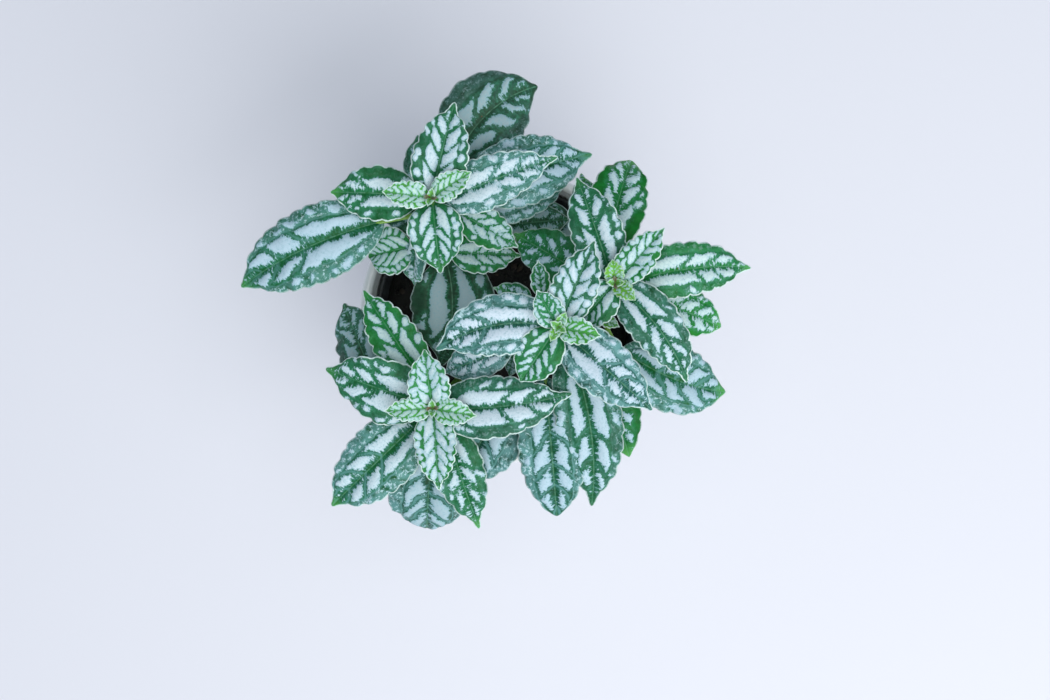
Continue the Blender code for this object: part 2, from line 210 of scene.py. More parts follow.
glaze, tree, shader = finish("white_glaze", 0.1)
place = own_place(tree)
height = add(tree, "SeparateXYZ", place, out=2)
cloud = noise(tree, place, 34.0, 3.0)
body = blend(tree, fade(tree, cloud, 0.35, 0.7), THIN_GLAZE, THICK_GLAZE)
speck = fade(tree, noise(tree, place, 900.0, 1.0), 0.72, 0.78)
clay = blend(tree, speck, CLAY_BUFF, CLAY_SPECK)
bare = fade(tree, height, GLAZED_ABOVE, BARE_BELOW)
dullness = fade(tree, height, GLAZED_ABOVE, BARE_BELOW, 0.1, 0.85)
orange_peel = sums(tree, noise(tree, place, 420.0, 2.0), noise(tree, place, 60.0, 1.0))
join(tree, shader, Base_Color=blend(tree, bare, body, clay), Roughness=dullness,
     Normal=bumps(tree, 0.18, 0.0002, orange_peel))
shader.inputs["Coat Weight"].default_value = 0.3
shader.inputs["Coat Roughness"].default_value = 0.04
ceramic.data.materials.append(glaze)
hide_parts("ceramic_pot")
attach(ceramic, "root")


# The nursery pot: the thin black polypropylene pot that the plant was grown in, moulded in one shot with
# a slightly thicker rim. It stands loose inside the ceramic pot.
LINER_TOP, LINER_WALL, LINER_PLAY, LINER_BASE_RADIUS, LINER_CORNER = 101.0, 1.2, 0.7, 42.0, 1.5
RIM_DEPTH, RIM_ROUND, RIM_OUT = 4.0, 0.9, 0.2
GAP = 0.3
PLASTIC_BLACK, PLASTIC_GREY = (0.010, 0.012, 0.014), (0.030, 0.036, 0.041)
DUST_GREY = (0.040, 0.046, 0.048)


def liner_inside(height):
    """Inner radius of the nursery pot at a height."""
    top = pot_inside(LINER_TOP) - LINER_PLAY - LINER_WALL
    share = (height - POT_FLOOR) / (LINER_TOP - POT_FLOOR)
    return LINER_BASE_RADIUS - LINER_WALL + share * (top - LINER_BASE_RADIUS + LINER_WALL)


bottom = POT_FLOOR + GAP
profile = [(HUB, bottom + LINER_WALL), (liner_inside(bottom) - LINER_CORNER, bottom + LINER_WALL)]
profile += [(liner_inside(h), h) for h in (bottom + LINER_WALL + LINER_CORNER, 40.0, 70.0, LINER_TOP - 5.0)]
rim = liner_inside(LINER_TOP) + RIM_OUT
profile += [(rim - RIM_ROUND, LINER_TOP - RIM_DEPTH)]
profile += arc((rim, LINER_TOP - RIM_ROUND), RIM_ROUND, 180.0, 0.0, 9)
profile += [(liner_inside(h) + LINER_WALL, h)
            for h in (LINER_TOP - RIM_DEPTH, 70.0, 40.0, bottom + LINER_CORNER)]
profile += [(liner_inside(bottom) + LINER_WALL - LINER_CORNER, bottom), (HUB, bottom)]
liner = thrown("black_nursery_pot", profile, POT_SIDES)

plastic, tree, shader = finish("moulded_black_plastic", 0.42)
place = own_place(tree)
upright = add(tree, "Mapping", place, None, None, (1.0, 1.0, 0.06))
streak = noise(tree, upright, 240.0, 3.0)
grey = blend(tree, fade(tree, streak, 0.4, 0.68), PLASTIC_BLACK, PLASTIC_GREY)
dust = fade(tree, noise(tree, place, 160.0, 4.0, 0.7), 0.48, 0.72)
join(tree, shader, Base_Color=blend(tree, dust, grey, DUST_GREY),
     Roughness=fade(tree, streak, 0.35, 0.7, 0.36, 0.55),
     Normal=bumps(tree, 0.25, 0.0002, streak))
liner.data.materials.append(plastic)
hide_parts("nursery_pot")
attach(liner, "root")


# The potting soil: moist peat with composted bark and a few white grains of perlite, pressed in by hand.
# It fills the nursery pot and crowns a little towards the stalks.
SOIL_TOP, SOIL_CROWN = 88.0, 2.0
SOIL_SIDES, SOIL_RINGS = 150, 56
CLODS = ((8.0, 3.0), (2.6, 2.2), (1.1, 0.8))
CRUMBS, CRUMB_MARGIN, CRUMB_SEAT = 460, 2.0, 0.5
PEAT, BARK, PERLITE = 0.0, 0.5, 1.0
CRUMB_SHARES = {PEAT: 0.62, BARK: 0.33, PERLITE: 0.05}
CRUMB_SIZES = {PEAT: (0.5, 1.3), BARK: (0.8, 2.4), PERLITE: (0.5, 1.3)}
WET_PEAT, DRY_PEAT, FIBRE_BROWN = (0.004, 0.0045, 0.005), (0.012, 0.011, 0.010), (0.036, 0.030, 0.026)
BARK_BROWN, PERLITE_WHITE = (0.024, 0.017, 0.012), (0.42, 0.41, 0.38)

floor = POT_FLOOR + GAP + LINER_WALL + GAP
edge = liner_inside(SOIL_TOP) - 0.15
profile = [(HUB, floor), (liner_inside(floor) - GAP, floor), (edge, SOIL_TOP - 1.5)]
profile += [(edge * share, SOIL_TOP + SOIL_CROWN * (1.0 - share * share) - 0.4 * (share > 0.98))
            for share in np.linspace(1.0, 0.02, SOIL_RINGS)]
ground = thrown("potting_soil_surface", profile, SOIL_SIDES, 180.0)
bpy.ops.object.select_all(action="DESELECT")
ground.select_set(True)
bpy.context.view_layer.objects.active = ground
loose = ground.vertex_groups.new(name="loose")
loose.add([v.index for v in ground.data.vertices if v.co.z > (SOIL_TOP - 0.2) * MM], 1.0, "REPLACE")
for size, heave in CLODS:
    clods = bpy.data.textures.new("clods", "CLOUDS")
    clods.noise_scale = size * MM
    clods.noise_depth = 2
    lift = ground.modifiers.new("clods", "DISPLACE")
    lift.texture = clods
    lift.direction = "Z"
    lift.mid_level = 0.5
    lift.strength = heave * MM
    lift.vertex_group = "loose"
    bpy.ops.object.modifier_apply(modifier=lift.name)


def new_piece(name, places, faces, **fields):
    """A mesh in millimetres, with one number or vector per point for each of its fields."""
    mesh = bpy.data.meshes.new(name)
    mesh.from_pydata(np.asarray(places) * MM, [], faces)
    for field, values in fields.items():
        values = np.asarray(values, np.float32)
        kind, member = ("FLOAT_VECTOR", "vector") if values.ndim == 2 else ("FLOAT", "value")
        mesh.attributes.new(field, kind, "POINT").data.foreach_set(member, values.ravel())
    mesh.shade_smooth()
    piece = bpy.data.objects.new(name, mesh)
    bpy.context.scene.collection.objects.link(piece)
    return piece


def number(tree, field):
    """One of the piece's own fields, read as a number."""
    return add(tree, "Attribute", out=2, attribute_name=field)


chance = np.random.default_rng(4)
bpy.ops.object.select_all(action="DESELECT")
bpy.ops.mesh.primitive_ico_sphere_add(subdivisions=1, radius=1.0)
crumb = bpy.context.object
ball = np.array([v.co[:] for v in crumb.data.vertices])
sides = np.array([face.vertices[:] for face in crumb.data.polygons])
bpy.data.objects.remove(crumb, do_unlink=True)
places, faces, sorts = [], [], []
for count in range(CRUMBS):
    bearing, reach = chance.uniform(0.0, 2.0 * np.pi), (edge - CRUMB_MARGIN) * np.sqrt(chance.uniform())
    sort = chance.choice(list(CRUMB_SHARES), p=list(CRUMB_SHARES.values()))
    size = chance.uniform(*CRUMB_SIZES[sort])
    lump = ball * chance.uniform(0.75, 1.2, ball.shape) * size
    lump = lump * np.array((1.0, chance.uniform(0.5, 0.9), 0.45))
    tilt, _ = np.linalg.qr(chance.normal(size=(3, 3)) * 0.35 + np.eye(3))
    tilt = tilt * np.linalg.det(tilt)
    cos, sin = np.cos(bearing * 3), np.sin(bearing * 3)
    spin = np.array(((cos, -sin, 0), (sin, cos, 0), (0, 0, 1)))
    seat = SOIL_TOP + SOIL_CROWN * (1.0 - (reach / edge) ** 2) + CRUMB_SEAT
    faces.append(sides + len(ball) * count)
    places.append(lump @ tilt.T @ spin.T + (reach * np.cos(bearing), reach * np.sin(bearing), seat))
    sorts.append(np.full(len(ball), sort))
crumbs = new_piece("soil_crumbs", np.concatenate(places), np.concatenate(faces), sort=np.concatenate(sorts))

earth, tree, shader = finish("potting_mix", 0.95)
place = own_place(tree)
damp = fade(tree, noise(tree, place, 120.0, 4.0, 0.65), 0.35, 0.7)
peat = blend(tree, damp, WET_PEAT, DRY_PEAT)
fibre = fade(tree, noise(tree, place, 900.0, 3.0), 0.62, 0.72)
peat = blend(tree, fibre, peat, FIBRE_BROWN)
sort = number(tree, "sort")
mix = blend(tree, fade(tree, sort, 0.2, 0.4), peat, BARK_BROWN)
mix = blend(tree, fade(tree, sort, 0.8, 0.95), mix, PERLITE_WHITE)
join(tree, shader, Base_Color=mix, Normal=bumps(tree, 0.7, 0.0006, noise(tree, place, 700.0, 4.0, 0.7)))
for piece in (ground, crumbs):
    piece.data.materials.append(earth)
    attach(piece, "root")
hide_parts("soil")


# The stalks: four shoots rooted in the soil, fleshy, smooth and pale green, with pairs of leaves set
# crosswise up each. A stalk swells where a pair stands. Each leaf stalk has a channel along its top and runs
# on as a raised rib under its blade.
STALK_RADIUS, STALK_TIP_RADIUS, STALK_WIDEST = 2.3, 0.6, 2.9
STALK_ROOT, STALK_RINGS, STALK_SIDES = 8.0, 96, 14
SWELLING, SWELLING_REACH = 0.16, 1.3
LEAF_STALK_RINGS, LEAF_STALK_SIDES, LEAF_STALK_CHANNEL = 10, 10, 0.35
MIDRIB_STEPS, RIB_RINGS, RIB_REACH = 96, 14, 0.9
STALK_PALENESS, PALEST_LENGTH = 0.4, 15.0
STALK_GREEN, PALE_GREEN = (0.02, 0.12, 0.015), (0.17, 0.37, 0.05)
STALK_DOT, STALK_BLUSH = (0.30, 0.40, 0.16), (0.20, 0.10, 0.03)

# A row gives one leaf. node is the height where it leaves the stalk, bearing and petiole are its leaf stalk
# in plan, then come the blade's heading, length and width, its slope at the base (rise), what it loses to the
# tip (droop), its sideways turn (swing) and tilt (roll) in degrees, age from 0, a bud, to 1, and tone from
# blue to fresh green. point sharpens its tip, first is where its first cross nerve leaves the midrib, cover
# widens the green between the silver patches, spots says how many silver spots its outer band has, and frost
# how many white flecks and how much painted sheen: a painted teal sheen on the outer band and on the veil
# beside the patches, and painted highlights along the nerves.
Stem = namedtuple("Stem", "name root tip leaves")
Leaf = namedtuple("Leaf", "node bearing petiole heading length width rise droop swing roll age tone "
                          "point first cover spots frost")

STEMS = (
    Stem("leafy_stem_a", (-18, 28), (-28, 43, 176), (
        Leaf(175, 170, 2, 174, 17, 11, 30, 30, 0, 0, 0.15, 0.6, 0.8, 0.2, 1, 1, 0),
        Leaf(175, 30, 2, 31, 17, 11, 30, 30, 0, 0, 0.15, 0.6, 0.8, 0.2, 1, 1, 0),
        Leaf(171, 76, 3, 76, 36, 22, 32, 50, 0, 0, 0.45, 0.4, 1.1, 0.28, 1, 0.9, 0.1),
        Leaf(168, -85, 3, -84, 26, 22, 18, 50, 0, 0, 0.5, 0.6, 1.2, 0.3, 1, 0.9, 0.1),
        Leaf(163, 155, 6, 177, 36, 22, 21, 46, 0, 0, 0.7, 0.5, 0.9, 0.55, 1.6, 0.7, 0.1),
        Leaf(165, -20, 5, 21, 48, 21, 24, 48, 0, 12, 0.75, 0.35, 1.1, 0.42, 1, 0.5, 0.65),
        Leaf(152, 40, 14, 15, 53, 28, 18, 44, 0, 0, 0.9, 0.35, 1, 0.5, 1.2, 0.4, 0.75),
        Leaf(144, 10, 12, 21, 44, 22, 12, 38, 0, 0, 0.9, 0.3, 0.9, 0.5, 1.2, 0.9, 0.5),
        Leaf(150, 190, 22, 195, 66, 31, 14, 44, 18, 0, 0.9, 0.4, 0.8, 0.45, 1.3, 0.8, 0.5),
        Leaf(146, 75, 21, 68, 48, 34, 18, 46, -50, 0, 1.0, 0.25, 0.8, 0.35, 1.35, 0.3, 0.2),
        Leaf(136, 214, 17, 192, 20, 20, 14, 55, 0, 0, 0.35, 1, 0.9, 0.25, 0.6, 1, 0.1),
        Leaf(142, 213, 14, -92, 20, 16, 5, 35, 0, 45, 0.8, 0.4, 0.9, 0.4, 1, 0.5, 0.6),
        Leaf(156, -13, 9, -30, 27, 16, 10, 30, 0, 0, 0.45, 0.9, 1, 0.3, 0.75, 0.6, 0.1),
        Leaf(146, -78, 15, -2, 29, 17, 4, 26, 0, 0, 0.5, 1, 1.1, 0.3, 0.85, 0.5, 0.1),
        Leaf(138, -92, 14, -72, 48, 35, 10, 46, -45, 0, 1.0, 0.15, 1, 0.6, 1.3, 0.5, 0),
        Leaf(140, 110, 6, 108, 32, 21, 16, 46, 0, 0, 0.9, 0.3, 0.8, 0.4, 1.2, 0.3, 0.2),
        Leaf(130, 45, 20, 41, 37, 18, 5, 18, 0, 0, 0.4, 0.8, 0.8, 0.4, 1.2, 0.3, 0),
        Leaf(131, 0, 12, 6, 39, 20, 8, 30, 0, 0, 1.0, 0.3, 0.9, 0.4, 1.3, 0.3, 0),
        Leaf(120, 150, 10, 152, 33, 20, 0, 20, 0, 0, 1.0, 0.3, 0.9, 0.4, 1.2, 0.3, 0),
    )),
    Stem("leafy_stem_b", (28, 8), (42, 11, 172), (
        Leaf(171, 95, 1, 98, 9, 8, 42, 30, 0, 0, 0.0, 0.6, 0.8, 0.2, 2.2, 0.6, 0),
        Leaf(171, -45, 1, -42, 10.5, 7.5, 42, 30, 0, 0, 0.0, 0.6, 0.8, 0.2, 2.2, 0.6, 0),
        Leaf(170, 43, 2, 48, 27, 14.5, 25, 40, 0, 0, 0.35, 0.8, 1, 0.3, 0.9, 0.9, 0),
        Leaf(168, 226, 2, 229, 20, 17, 15, 45, 0, 0, 0.4, 0.6, 0.85, 0.35, 1.2, 0.6, 0.1),
        Leaf(166, 110, 4, 109, 41, 21, 24, 50, 0, 0, 0.6, 0.35, 0.95, 0.5, 1.8, 0.6, 0.1),
        Leaf(164, -45, 4, -37, 47, 21, 22, 56, -32, 0, 0.6, 0.3, 1.15, 0.4, 1.65, 0.5, 0.25),
        Leaf(158, 6, 6, 18, 52, 22, 18, 46, -22, 0, 0.75, 0.85, 0.95, 0.45, 1.3, 0.2, 0.2),
        Leaf(152, 155, 8, 149, 36, 21, 12, 42, 0, 0, 0.9, 0.6, 0.9, 0.3, 1.75, 0.3, 0.1),
        Leaf(148, 88, 12, 80, 47, 24, 12, 64, -12, 0, 0.8, 0.75, 0.6, 0.35, 1.4, 0.3, 0),
        Leaf(140, 96, 10, 99, 39, 18, 10, 38, 0, 0, 0.9, 0.5, 0.85, 0.4, 1.3, 0.2, 0),
        Leaf(146, -8, 14, -22, 38, 20, 10, 40, 0, 0, 0.8, 1, 0.6, 0.4, 1.2, 0.3, 0),
        Leaf(134, -66, 26, -38, 49, 29, 8, 34, 32, 0, 0.9, 0.5, 0.7, 0.4, 1.1, 0.3, 0.7),
        Leaf(121, 125, 8, 108, 36, 20, 2, 14, 0, 0, 1.0, 0.3, 0.9, 0.4, 1.3, 0.2, 0),
        Leaf(117, 20, 8, 22, 34, 19, 0, 20, 0, 0, 1.0, 0.3, 0.9, 0.4, 1.3, 0.2, 0),
    )),
    Stem("leafy_stem_c", (14, -4), (20, -6, 184), (
        Leaf(183, 60, 1, 62, 6.5, 4.5, 50, 30, 0, 0, 0.0, 0.6, 0.8, 0.2, 2.2, 0.6, 0),
        Leaf(183, -120, 1, -118, 6.5, 4.5, 50, 30, 0, 0, 0.0, 0.6, 0.8, 0.2, 2.2, 0.6, 0),
        Leaf(183, 125, 2, 120, 14.5, 12, 30, 30, 0, 0, 0.4, 0.9, 0.9, 0.25, 1.8, 1, 0.2),
        Leaf(183, -14, 2, -12, 15, 11, 30, 30, 0, 0, 0.15, 0.9, 0.95, 0.2, 2, 1, 0),
        Leaf(180, 65, 3, 67, 33, 18, 25, 40, 0, 0, 0.4, 0.35, 1, 0.3, 1, 0.7, 0.15),
        Leaf(178, 228, 3, 236, 23, 18, 15, 45, 0, 0, 0.45, 0.75, 0.8, 0.3, 1.6, 0.4, 0.1),
        Leaf(176, 168, 4, 167.5, 46, 24, 22, 50, 48, 0, 0.75, 0.15, 1.05, 0.52, 1.2, 0.9, 0.65),
        Leaf(175, -38, 4, -41, 46, 23, 21, 50, 0, 0, 0.8, 0.15, 1, 0.46, 1.45, 0.5, 0.9),
        Leaf(158, -50, 8, -67.5, 71, 27, 8, 44, -28, 0, 0.85, 0.3, 0.95, 0.52, 1.7, 0.6, 0.3),
        Leaf(150, -50, 14, -50, 49, 24, 8, 36, -24, 0, 0.9, 0.6, 0.7, 0.5, 2, 0, 0),
        Leaf(152, -98, 20, -85, 59, 27, 10, 44, 0, 0, 0.9, 0.25, 0.55, 0.35, 1.45, 0.3, 0.8),
        Leaf(158, 205, 18, 201, 31, 16, 10, 52, 0, 0, 0.8, 0.2, 0.8, 0.35, 1.1, 0.4, 1),
        Leaf(168, 115, 13, 96, 14, 8, 20, 30, 0, 0, 0.4, 0.8, 1, 0.3, 1.2, 0.3, 0),
        Leaf(150, 125, 14, 165, 16, 9, 5, 20, 0, 0, 0.9, 0.4, 1, 0.4, 1.3, 0.2, 0),
        Leaf(150, 205, 16, -100, 14, 8, 5, 30, 0, 40, 1.0, 0.2, 0.9, 0.4, 1.3, 0.2, 0),
        Leaf(138, 12, 20, -27, 10, 6, 15, 20, 0, 0, 0.1, 0.8, 1, 0.3, 1.4, 0.2, 0),
        Leaf(124, 200, 8, 196, 34, 19, 6, 34, 0, 0, 1.0, 0.3, 0.9, 0.4, 1.2, 0.3, 0),
    )),
    Stem("leafy_stem_d", (-18, -24), (-28, -37, 166), (
        Leaf(165, 185, 2, 183, 17, 10, 25, 30, 0, 0, 0.15, 0.7, 0.9, 0.2, 1, 1, 0),
        Leaf(165, -30, 2, -9, 16, 11, 25, 28, 0, 0, 0.15, 0.7, 1, 0.2, 1, 1, 0),
        Leaf(163, 98, 3, 97, 22, 17, 48, 60, 0, 0, 0.25, 0.6, 1, 0.3, 0.6, 0.9, 0.1),
        Leaf(161, -86, 3, -86, 30, 17, 20, 38, 0, 0, 0.3, 0.5, 1.05, 0.25, 0.6, 0.8, 0),
        Leaf(158, 172, 5, 161, 42, 27, 18, 46, 0, -18, 0.7, 0.4, 1, 0.45, 1.35, 0.8, 0.1),
        Leaf(160, -8, 5, -3, 50.5, 25, 23, 40, 18, 0, 0.75, 0.3, 1.2, 0.42, 1.1, 0.8, 0.2),
        Leaf(152, 118, 8, 124, 47, 20, 12, 36, 0, 0, 0.5, 0.95, 1, 0.42, 1.8, 0.4, 0.1),
        Leaf(140, 167, 27, 114, 37, 23, 10, 46, 0, -18, 1.0, 0.3, 0.9, 0.4, 1.2, 0.3, 0.2),
        Leaf(148, 225, 8, 224, 55, 28, 12, 44, 0, 0, 0.8, 0.45, 0.9, 0.45, 1.55, 0.3, 0.75),
        Leaf(146, -100, 10, -96, 52, 34, 10, 72, 0, 0, 0.95, 0.25, 0.4, 0.3, 1.1, 0.2, 0.8),
        Leaf(154, -65, 7, -72, 47, 21, 14, 44, 0, 0, 0.8, 0.5, 1.1, 0.38, 1.5, 0.3, 0.15),
        Leaf(144, 5, 24, -109, 42, 32, 10, 48, -14, 0, 0.9, 0.15, 1, 0.45, 1.1, 0.2, 0.9),
        Leaf(122, 200, 8, 202, 27, 18, 0, 20, 0, 0, 1.0, 0.3, 0.9, 0.4, 1.2, 0.3, 0),
    )),
)


def stalk_point(stem, height):
    """Centre of the stalk at a height: straight up in the soil, then leaning out and upright again."""
    root, tip = np.array(stem.root, float), np.array(stem.tip[:2], float)
    s = np.clip((height - SOIL_TOP) / (stem.tip[2] - SOIL_TOP), 0.0, 1.0)
    return np.append(root + (tip - root) * (3.0 - 2.0 * s) * s * s, height)


def stalkless(leaf):
    """How far the blade of a young leaf runs back along its short leaf stalk."""
    return 0.75 * leaf.petiole if leaf.petiole <= 5 else 0.0


def blade_start(stem, leaf):
    """Where the leaf stalk ends and the blade begins."""
    bearing, length = np.radians(leaf.bearing), leaf.petiole - stalkless(leaf)
    reach = np.array([np.cos(bearing), np.sin(bearing), np.tan(np.radians(leaf.rise))])
    return stalk_point(stem, leaf.node) + length * reach


def midrib(stem, leaf):
    """Points down the midrib, with the directions across the blade and out of its face at each."""
    u = np.linspace(0.0, 1.0, MIDRIB_STEPS + 1)
    pitch = np.radians(leaf.rise - leaf.droop * u)
    turn = np.radians(leaf.heading + leaf.swing * u)
    roll = np.radians(leaf.roll)
    along = np.stack([np.cos(pitch) * np.cos(turn), np.cos(pitch) * np.sin(turn), np.sin(pitch)], axis=1)
    level = np.stack([-np.sin(turn), np.cos(turn), np.zeros_like(turn)], axis=1)
    up = np.cross(along, level)
    across = level * np.cos(roll) + up * np.sin(roll)
    face = up * np.cos(roll) - level * np.sin(roll)
    steps = (along[1:] + along[:-1]) / 2.0 * (leaf.length + stalkless(leaf)) / MIDRIB_STEPS
    points = blade_start(stem, leaf) + np.vstack([np.zeros(3), np.cumsum(steps, axis=0)])
    return points, across, face


def tube(route, radii, sides, channel=0.0):
    """A closed tube of round rings through the route. channel pulls in its upper side by that share."""
    route = np.asarray(route)
    along = np.gradient(route, axis=0)
    along /= np.linalg.norm(along, axis=1)[:, None]
    level = (0.0, 0.0, 1.0) if abs(along[:, 2]).min() < 0.8 else (0.0, 1.0, 0.0)
    side = np.cross(along, level)
    side /= np.linalg.norm(side, axis=1)[:, None]
    up = np.cross(side, along)
    angle = np.linspace(0.0, 2.0 * np.pi, sides, endpoint=False)
    shape = 1.0 - channel * np.exp(-((angle - np.pi / 2.0) / 0.5) ** 2)
    ring = (side[:, None] * (np.cos(angle) * shape)[:, None] + up[:, None] * (np.sin(angle) * shape)[:, None])
    places = (route[:, None] + ring * np.asarray(radii)[:, None, None]).reshape(-1, 3)
    i, j = np.meshgrid(np.arange(len(route) - 1), np.arange(sides), indexing="ij")
    k = (j + 1) % sides
    faces = np.stack([i * sides + j, i * sides + k, (i + 1) * sides + k, (i + 1) * sides + j], axis=-1)
    caps = [list(range(sides))[::-1], list(range((len(route) - 1) * sides, len(route) * sides))]
    return places, faces.reshape(-1, 4).tolist() + caps


def petiole_route(stem, leaf):
    """From inside the stalk out to the blade, and on under its midrib."""
    start, goal = stalk_point(stem, leaf.node), blade_start(stem, leaf)
    points, _, out = midrib(stem, leaf)
    bearing = np.radians(leaf.bearing)
    away = np.array((np.cos(bearing), np.sin(bearing), 0.5)) * leaf.petiole
    onward = (points[1] - points[0]) * MIDRIB_STEPS / leaf.length * leaf.petiole
    t = np.linspace(0.0, 1.0, LEAF_STALK_RINGS)[:-1, None]
    bow = (start * (2 * t ** 3 - 3 * t ** 2 + 1) + away * (t ** 3 - 2 * t ** 2 + t)
           + goal * (3 * t ** 2 - 2 * t ** 3) + onward * (t ** 3 - t ** 2))
    under = np.linspace(0, MIDRIB_STEPS * RIB_REACH, RIB_RINGS).astype(int)
    thick = 0.18 + 0.027 * leaf.width
    stalk_radii = thick * (1.0 + 0.35 * np.exp(-t[:, 0] / 0.15))
    rib_radii = thick * (1.0 - 0.85 * (under / MIDRIB_STEPS) ** 0.6)
    sunk = (0.55 * rib_radii + 0.25) * np.minimum(1.0, under / 6.0)
    rib = points[under] - out[under] * sunk[:, None]
    return np.vstack([bow, rib]), np.concatenate([stalk_radii, rib_radii])


def times(tree, first, second):
    """Two values multiplied."""
    return add(tree, "Math", first, second, operation="MULTIPLY")


skin, tree, shader = finish("stalk_skin", 0.38)
place = own_place(tree)
flesh = blend(tree, number(tree, "paleness"), STALK_GREEN, PALE_GREEN)
dot = fade(tree, noise(tree, place, 900.0, 2.0), 0.66, 0.74)
flesh = blend(tree, dot, flesh, STALK_DOT)
blush = times(tree, fade(tree, noise(tree, place, 70.0, 3.0), 0.5, 0.75), 0.3)
join(tree, shader, Base_Color=blend(tree, blush, flesh, STALK_BLUSH),
     Normal=bumps(tree, 0.3, 0.0003, noise(tree, place, 500.0, 3.0)))
for stem in STEMS:
    heights = np.linspace(SOIL_TOP - STALK_ROOT, stem.tip[2], STALK_RINGS)
    radii = np.linspace(STALK_RADIUS, STALK_TIP_RADIUS, STALK_RINGS)
    for leaf in stem.leaves:
        radii += SWELLING * np.exp(-((heights - leaf.node) / SWELLING_REACH) ** 2)
    route = [stalk_point(stem, h) for h in heights]
    places, faces = tube(route, np.minimum(radii, STALK_WIDEST), STALK_SIDES)
    paleness = np.full(len(places), STALK_PALENESS)
    for leaf in stem.leaves:
        more, rings = tube(*petiole_route(stem, leaf), LEAF_STALK_SIDES, LEAF_STALK_CHANNEL)
        faces += [[corner + len(places) for corner in ring] for ring in rings]
        places = np.vstack([places, more])
        paleness = np.append(paleness, np.full(len(more), min(1.0, leaf.petiole / PALEST_LENGTH)))
    stalks = new_piece(stem.name.replace("leafy_stem", "stalks"), places, faces, paleness=paleness)
    stalks.data.materials.append(skin)
    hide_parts(stem.name)
    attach(stalks, "root")


# The blades: thin and fleshy, with a scalloped edge and three nerves from the base. Between the nerves the
# skin stands off the flesh in raised patches full of air, which are silver white. Young blades are yellow
# green with thin nerves; old ones are dark, with ragged patches along the midrib.
CELL, CELL_LENGTH = 0.64, 34.0
BLADE_THICKNESS = 0.45
GROWN_WIDTH = 30.0
BASE_FULLNESS, TIP_WIDTH = 0.6, 0.075
TOOTH_BACK, TOOTH_FRONT = 0.68, 0.32
CROSS_LEAN, CROSS_CURVE = 0.28, 1.35
BEND_WAVE, FLUTTER_WAVE = 9.0, 9.0
PUFF_SLOPE, PUFF_WIDTH = 1.1, 22.0
FAR_OUTSIDE = -9.0


def half_width(leaf, u):
    """Half of the blade's width: a rounded base, widest before the middle, then a narrow, blunt tip."""
    fullness = 0.4 + 0.45 * leaf.point
    widest = BASE_FULLNESS / (BASE_FULLNESS + fullness)
    rising, falling = (u / widest) ** BASE_FULLNESS, ((1.0 - u) / (1.0 - widest)) ** fullness
    tail = np.clip(leaf.point - 0.35, 0.1, 0.75) * np.exp(-(((1.0 - u) / 0.13) ** 2))
    oval = leaf.width / 2.0 * rising * falling * (1.0 - tail)
    return np.maximum(oval, TIP_WIDTH * leaf.width * u * np.minimum(1.0, (1.0 - u) / 0.06) ** 0.5)


def scallop(leaf, u):
    """How far the margin is drawn in between its rounded, forward-leaning teeth."""
    teeth = max(3, round(leaf.length / (1.6 + 5.0 * leaf.age)))
    phase = (u * teeth + TOOTH_FRONT) % 1.0
    back, front = phase / TOOTH_BACK, (phase - TOOTH_BACK) / TOOTH_FRONT
    rise = np.where(phase < TOOTH_BACK, np.sin(back * np.pi / 2.0), np.cos(front * np.pi / 2.0))
    depth = (1.25 - 0.35 * leaf.age) * min(1.0, leaf.length / 36.0) ** 0.5
    depth = depth * np.clip((u - 0.12) / 0.3, 0.15, 1.0)
    depth = depth * np.clip((1.0 - u) / 0.12, 0.0, 1.0)
    return depth * (1.0 - rise ** 0.8) * np.minimum(1.0, half_width(leaf, u) / 3.0)


def smooth_least(a, b, width):
    """The lesser of two fields, rounded off where they cross."""
    share = np.clip(0.5 + 0.5 * (b - a) / width, 0.0, 1.0)
    return b + (a - b) * share - width * share * (1.0 - share)


def lateral_share(u):
    """The lateral nerve's share of the half width: quickly out from the base, then on towards the margin."""
    late = np.clip((u - 0.45) / 0.55, 0.0, 1.0)
    return 0.59 * (1.0 - np.exp(-u / 0.075)) + 0.41 * late ** 1.8


def wobble(chance, x, y, wave):
    """A smooth random field of about -1 to 1 whose bumps are wave millimetres long."""
    total = np.zeros(x.shape)
    for _ in range(6):
        bearing, phase = chance.uniform(0.0, 2.0 * np.pi, 2)
        pitch = 2.0 * np.pi / (wave * chance.uniform(0.7, 1.5))
        total += np.sin(pitch * (x * np.cos(bearing) + y * np.sin(bearing)) + phase)
    return total / 3.0


def cross_nerves(leaf, chance):
    """Where the cross nerves of one half leave the midrib, as shares of the blade's length."""
    spread = np.interp(leaf.age, (0.1, 0.5, 1.0), (0.85, 0.95, 1.0))
    nerve = leaf.first + chance.uniform(-0.05, 0.05)
    nerves = []
    while nerve < 0.93:
        nerves.append(nerve)
        nerve += chance.uniform(0.16, 0.21) * spread * (1.15 - 0.35 * nerve)
    return nerves


def margin_spots(leaf, chance, u, y):
    """How far inside a silver spot of the outer band each point lies, in millimetres."""
    pitch = chance.uniform(0.095, 0.12) * (0.85 + 0.15 * leaf.age)
    youth = np.interp(leaf.age, (0.2, 0.6), (2.0, 1.0))
    spots = np.full(u.shape, FAR_OUTSIDE)
    for row in np.arange(0.16, 0.9, pitch):
        at = row + chance.uniform(-0.25, 0.25) * pitch
        if chance.uniform() > leaf.spots:
            continue
        wide, line = half_width(leaf, at), half_width(leaf, at) * lateral_share(at)
        high = (wide - line) * chance.uniform(0.16, 0.31) * youth
        long = min(high * chance.uniform(1.2, 2.4), 0.46 * pitch * leaf.length)
        across = wide * chance.uniform(0.42, 0.56) + line * 0.48
        dx, dy = (u - at) * leaf.length, y - across
        turn = np.radians(chance.uniform(15.0, 40.0))
        dx, dy = dx * np.cos(turn) + dy * np.sin(turn), dy * np.cos(turn) - dx * np.sin(turn)
        spot = (1.0 - np.hypot(dx / max(long, 0.2), dy / max(high, 0.2))) * min(long, high)
        spots = np.maximum(spots, spot)
    return spots


